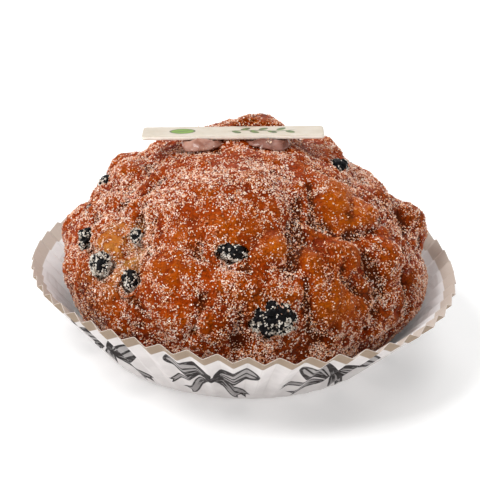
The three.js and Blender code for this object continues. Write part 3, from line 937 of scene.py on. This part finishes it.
# Sugar: one crystal is modelled for each kind and scattered over the crust
sugarKinds = {
    "sugar_rose": {
        "on": "crust", "where": "sugar", "count": 22000, "size": (0.84, 0.4, 0.36), "vary": (0.45, 1.25),
        "seed": 3, "tints": (colour(253, 236, 226), colour(218, 150, 118)),
    },
    "sugar_warm": {
        "on": "crust", "where": "sugar", "count": 20500, "size": (0.78, 0.38, 0.34), "vary": (0.45, 1.25),
        "seed": 8, "tints": (colour(255, 238, 216), colour(222, 158, 112)),
    },
    "sugar_clear": {
        "on": "crust", "where": "glaze", "count": 16000, "size": (0.9, 0.36, 0.32), "vary": (0.45, 1.25),
        "seed": 17, "tints": (colour(236, 168, 114), colour(186, 92, 38)),
    },
    "sugar_fine": {
        "on": "crust", "where": "sugar", "count": 20500, "size": (0.46, 0.28, 0.26), "vary": (0.5, 1.3),
        "seed": 29, "tints": (colour(255, 228, 206), colour(204, 128, 86)),
    },
    "sugar_on_raisins": {
        "on": "raisins", "where": "sugar", "count": 4000, "size": (0.82, 0.56, 0.48), "vary": (0.45, 1.3),
        "seed": 5, "tints": (colour(238, 232, 222), colour(172, 158, 142)),
    },
}


crystalShape = {
    "radius": 0.62,
    "top": (0.7, 0.86, 1),  # it narrows to this
}


def joined(pieces):
    copies = []
    for piece in pieces:
        copy = bpy.data.objects.new("host", piece.data.copy())
        bpy.context.scene.collection.objects.link(copy)
        copies.append(copy)
    only(copies[0])
    for copy in copies:
        copy.select_set(True)
    if len(copies) > 1:
        bpy.ops.object.join()
    return copies[0]


def makeCrystal(size):  # a wedge of a broken crystal
    bpy.ops.object.select_all(action="DESELECT")
    bpy.ops.mesh.primitive_cylinder_add(vertices=3, radius=crystalShape["radius"], depth=1)
    crystal = bpy.context.active_object
    crystal.scale = [s * mm for s in size]
    bpy.ops.object.transform_apply(location=False, rotation=False, scale=True)
    for face in crystal.data.polygons:
        face.select = face.normal.z > 0.5
    bpy.ops.object.mode_set(mode="EDIT")
    bpy.ops.transform.resize(value=crystalShape["top"])
    bpy.ops.object.mode_set(mode="OBJECT")
    return crystal


def sugaredArea(host, where):
    mask = np.empty(len(host.data.vertices))
    host.data.attributes[where].data.foreach_get("value", mask)
    return sum(face.area * mask[list(face.vertices)].mean() for face in host.data.polygons)


def crystalFinish(name, tints):
    f = Finish(name)
    tint = f.cloud(0.9, 2, 0.6).between(0.38, 0.62)
    return f.set(Base_Color=f.mix(tint, *tints), Roughness=0.2 + tint * 0.25, Specular_IOR_Level=0.45)


def scatter(name, kind, host):
    crystal = makeCrystal(kind["size"])
    group = bpy.data.node_groups.new(name, "GeometryNodeTree")
    group.interface.new_socket("Geometry", in_out="OUTPUT", socket_type="NodeSocketGeometry")

    def add(sort, settings, inputs):
        made = group.nodes.new(sort)
        for key, value in settings.items():
            setattr(made, key, value)
        for key, value in inputs.items():
            slot = made.inputs[key]
            if isinstance(value, bpy.types.NodeSocket):
                group.links.new(value, slot)
            else:
                slot.default_value = value
        return made.outputs

    def drawn(low, high, seed):
        inputs = {"Min": low, "Max": high, "Seed": seed}
        return add("FunctionNodeRandomValue", {"data_type": "FLOAT_VECTOR"}, inputs)["Value"]

    where, seed = kind["where"], kind["seed"]
    mask = add("GeometryNodeInputNamedAttribute", {"data_type": "FLOAT"}, {"Name": where})["Attribute"]
    perArea = kind["count"] / sugaredArea(host, where)
    density = add("ShaderNodeMath", {"operation": "MULTIPLY"}, {0: mask, 1: perArea})["Value"]
    surface = add("GeometryNodeObjectInfo", {}, {"Object": host})["Geometry"]
    inputs = {"Mesh": surface, "Density": density, "Seed": seed}
    spread = add("GeometryNodeDistributePointsOnFaces", {}, inputs)
    tipped = drawn((-1.2, -1.2, 0), (1.2, 1.2, 6.283), seed + 1)
    spin = add("FunctionNodeEulerToRotation", {}, {"Euler": tipped})["Rotation"]
    inputs = {"Rotation": spread["Rotation"], "Rotate By": spin}
    turned = add("FunctionNodeRotateRotation", {"rotation_space": "LOCAL"}, inputs)["Rotation"]
    low, high = kind["vary"]
    size = drawn((low,) * 3, (high,) * 3, seed + 2)
    shape = add("GeometryNodeObjectInfo", {}, {"Object": crystal})["Geometry"]
    inputs = {"Points": spread["Points"], "Instance": shape, "Rotation": turned, "Scale": size}
    instances = add("GeometryNodeInstanceOnPoints", {}, inputs)
    real = add("GeometryNodeRealizeInstances", {}, {"Geometry": instances["Instances"]})["Geometry"]
    group.links.new(real, group.nodes.new("NodeGroupOutput").inputs[0])
    sugar = bpy.data.objects.new(name, bpy.data.meshes.new(name))
    bpy.context.scene.collection.objects.link(sugar)
    modify(sugar, "NODES", node_group=group)
    bpy.data.objects.remove(crystal)
    dress(sugar, crystalFinish(name.replace("_", " "), kind["tints"]), "dough")
    sugar.data.calc_loop_triangles()
    print(name, len(sugar.data.loop_triangles), "triangles")


hosts = {"crust": joined([dough, *icing]), "raisins": joined(list(raisins.values()))}
for name, kind in sugarKinds.items():
    scatter(name, kind, hosts[kind["on"]])
for host in hosts.values():
    bpy.data.objects.remove(host)
print("sugar scattered")

# Studio: a pale floor, soft lights and the camera
studio = {
    "floorSize": 6.0,
    "cameraPlace": (-0.886, -475.6, 240.0),
    "cameraDown": 23.846,
    "cameraLean": 1.911,
    "lens": 135.28,
    "sky": 0.37,
    "floorGlow": 0.26,
    "lights": {  # place in metres, size, power
        "key": ((-0.46, -0.3, 0.76), 0.34, 5.1),
        "top": ((0.25, -0.1, 0.9), 0.4, 1.3),
        "fill": ((0.7, -0.55, 0.45), 0.6, 1.1),
        "low": ((-0.7, -0.4, 0.08), 0.2, 1.2),
        "back": ((0.1, 0.6, 0.6), 0.5, 2.4),
    },
}


def addLight(name, spot, size, power):
    light = bpy.data.lights.new(name, "AREA")
    light.size, light.energy = size, power
    lamp = bpy.data.objects.new(name, light)
    bpy.context.scene.collection.objects.link(lamp)
    lamp.location = spot
    lamp.rotation_mode = "QUATERNION"
    lamp.rotation_quaternion = (Vector((0, 0, 0.03)) - Vector(spot)).to_track_quat("-Z", "Y")


bpy.ops.object.select_all(action="DESELECT")
bpy.ops.mesh.primitive_plane_add(size=studio["floorSize"], location=(0, 0, -0.0002))
floor = bpy.context.active_object
floor.name = "floor"
floorFinish = Finish("pale floor").set(
    Base_Color=(0.84, 0.84, 0.84, 1),
    Roughness=0.9,
    Emission_Color=(1, 1, 1, 1),
    Emission_Strength=studio["floorGlow"],
)
floor.data.materials.append(floorFinish)
world = bpy.data.worlds.new("studio")
bpy.context.scene.world = world
world.use_nodes = True
background = world.node_tree.nodes["Background"]
background.inputs["Color"].default_value = (1, 1, 1, 1)
background.inputs["Strength"].default_value = studio["sky"]
for name, (spot, size, power) in studio["lights"].items():
    addLight(name, spot, size, power)
bpy.context.scene.view_settings.view_transform = "Standard"
camera = bpy.data.objects.new("camera", bpy.data.cameras.new("camera"))
bpy.context.scene.collection.objects.link(camera)
camera.data.lens = studio["lens"]
camera.data.sensor_width = 36
camera.data.clip_start = 0.01
camera.data.clip_end = 20
camera.matrix_world = (
    Matrix.Translation(Vector(studio["cameraPlace"]) * mm)
    @ Matrix.Rotation(math.radians(90 - studio["cameraDown"]), 4, "X")
    @ Matrix.Rotation(math.radians(studio["cameraLean"]), 4, "Z")
)
bpy.context.scene.camera = camera

print("scene ready")
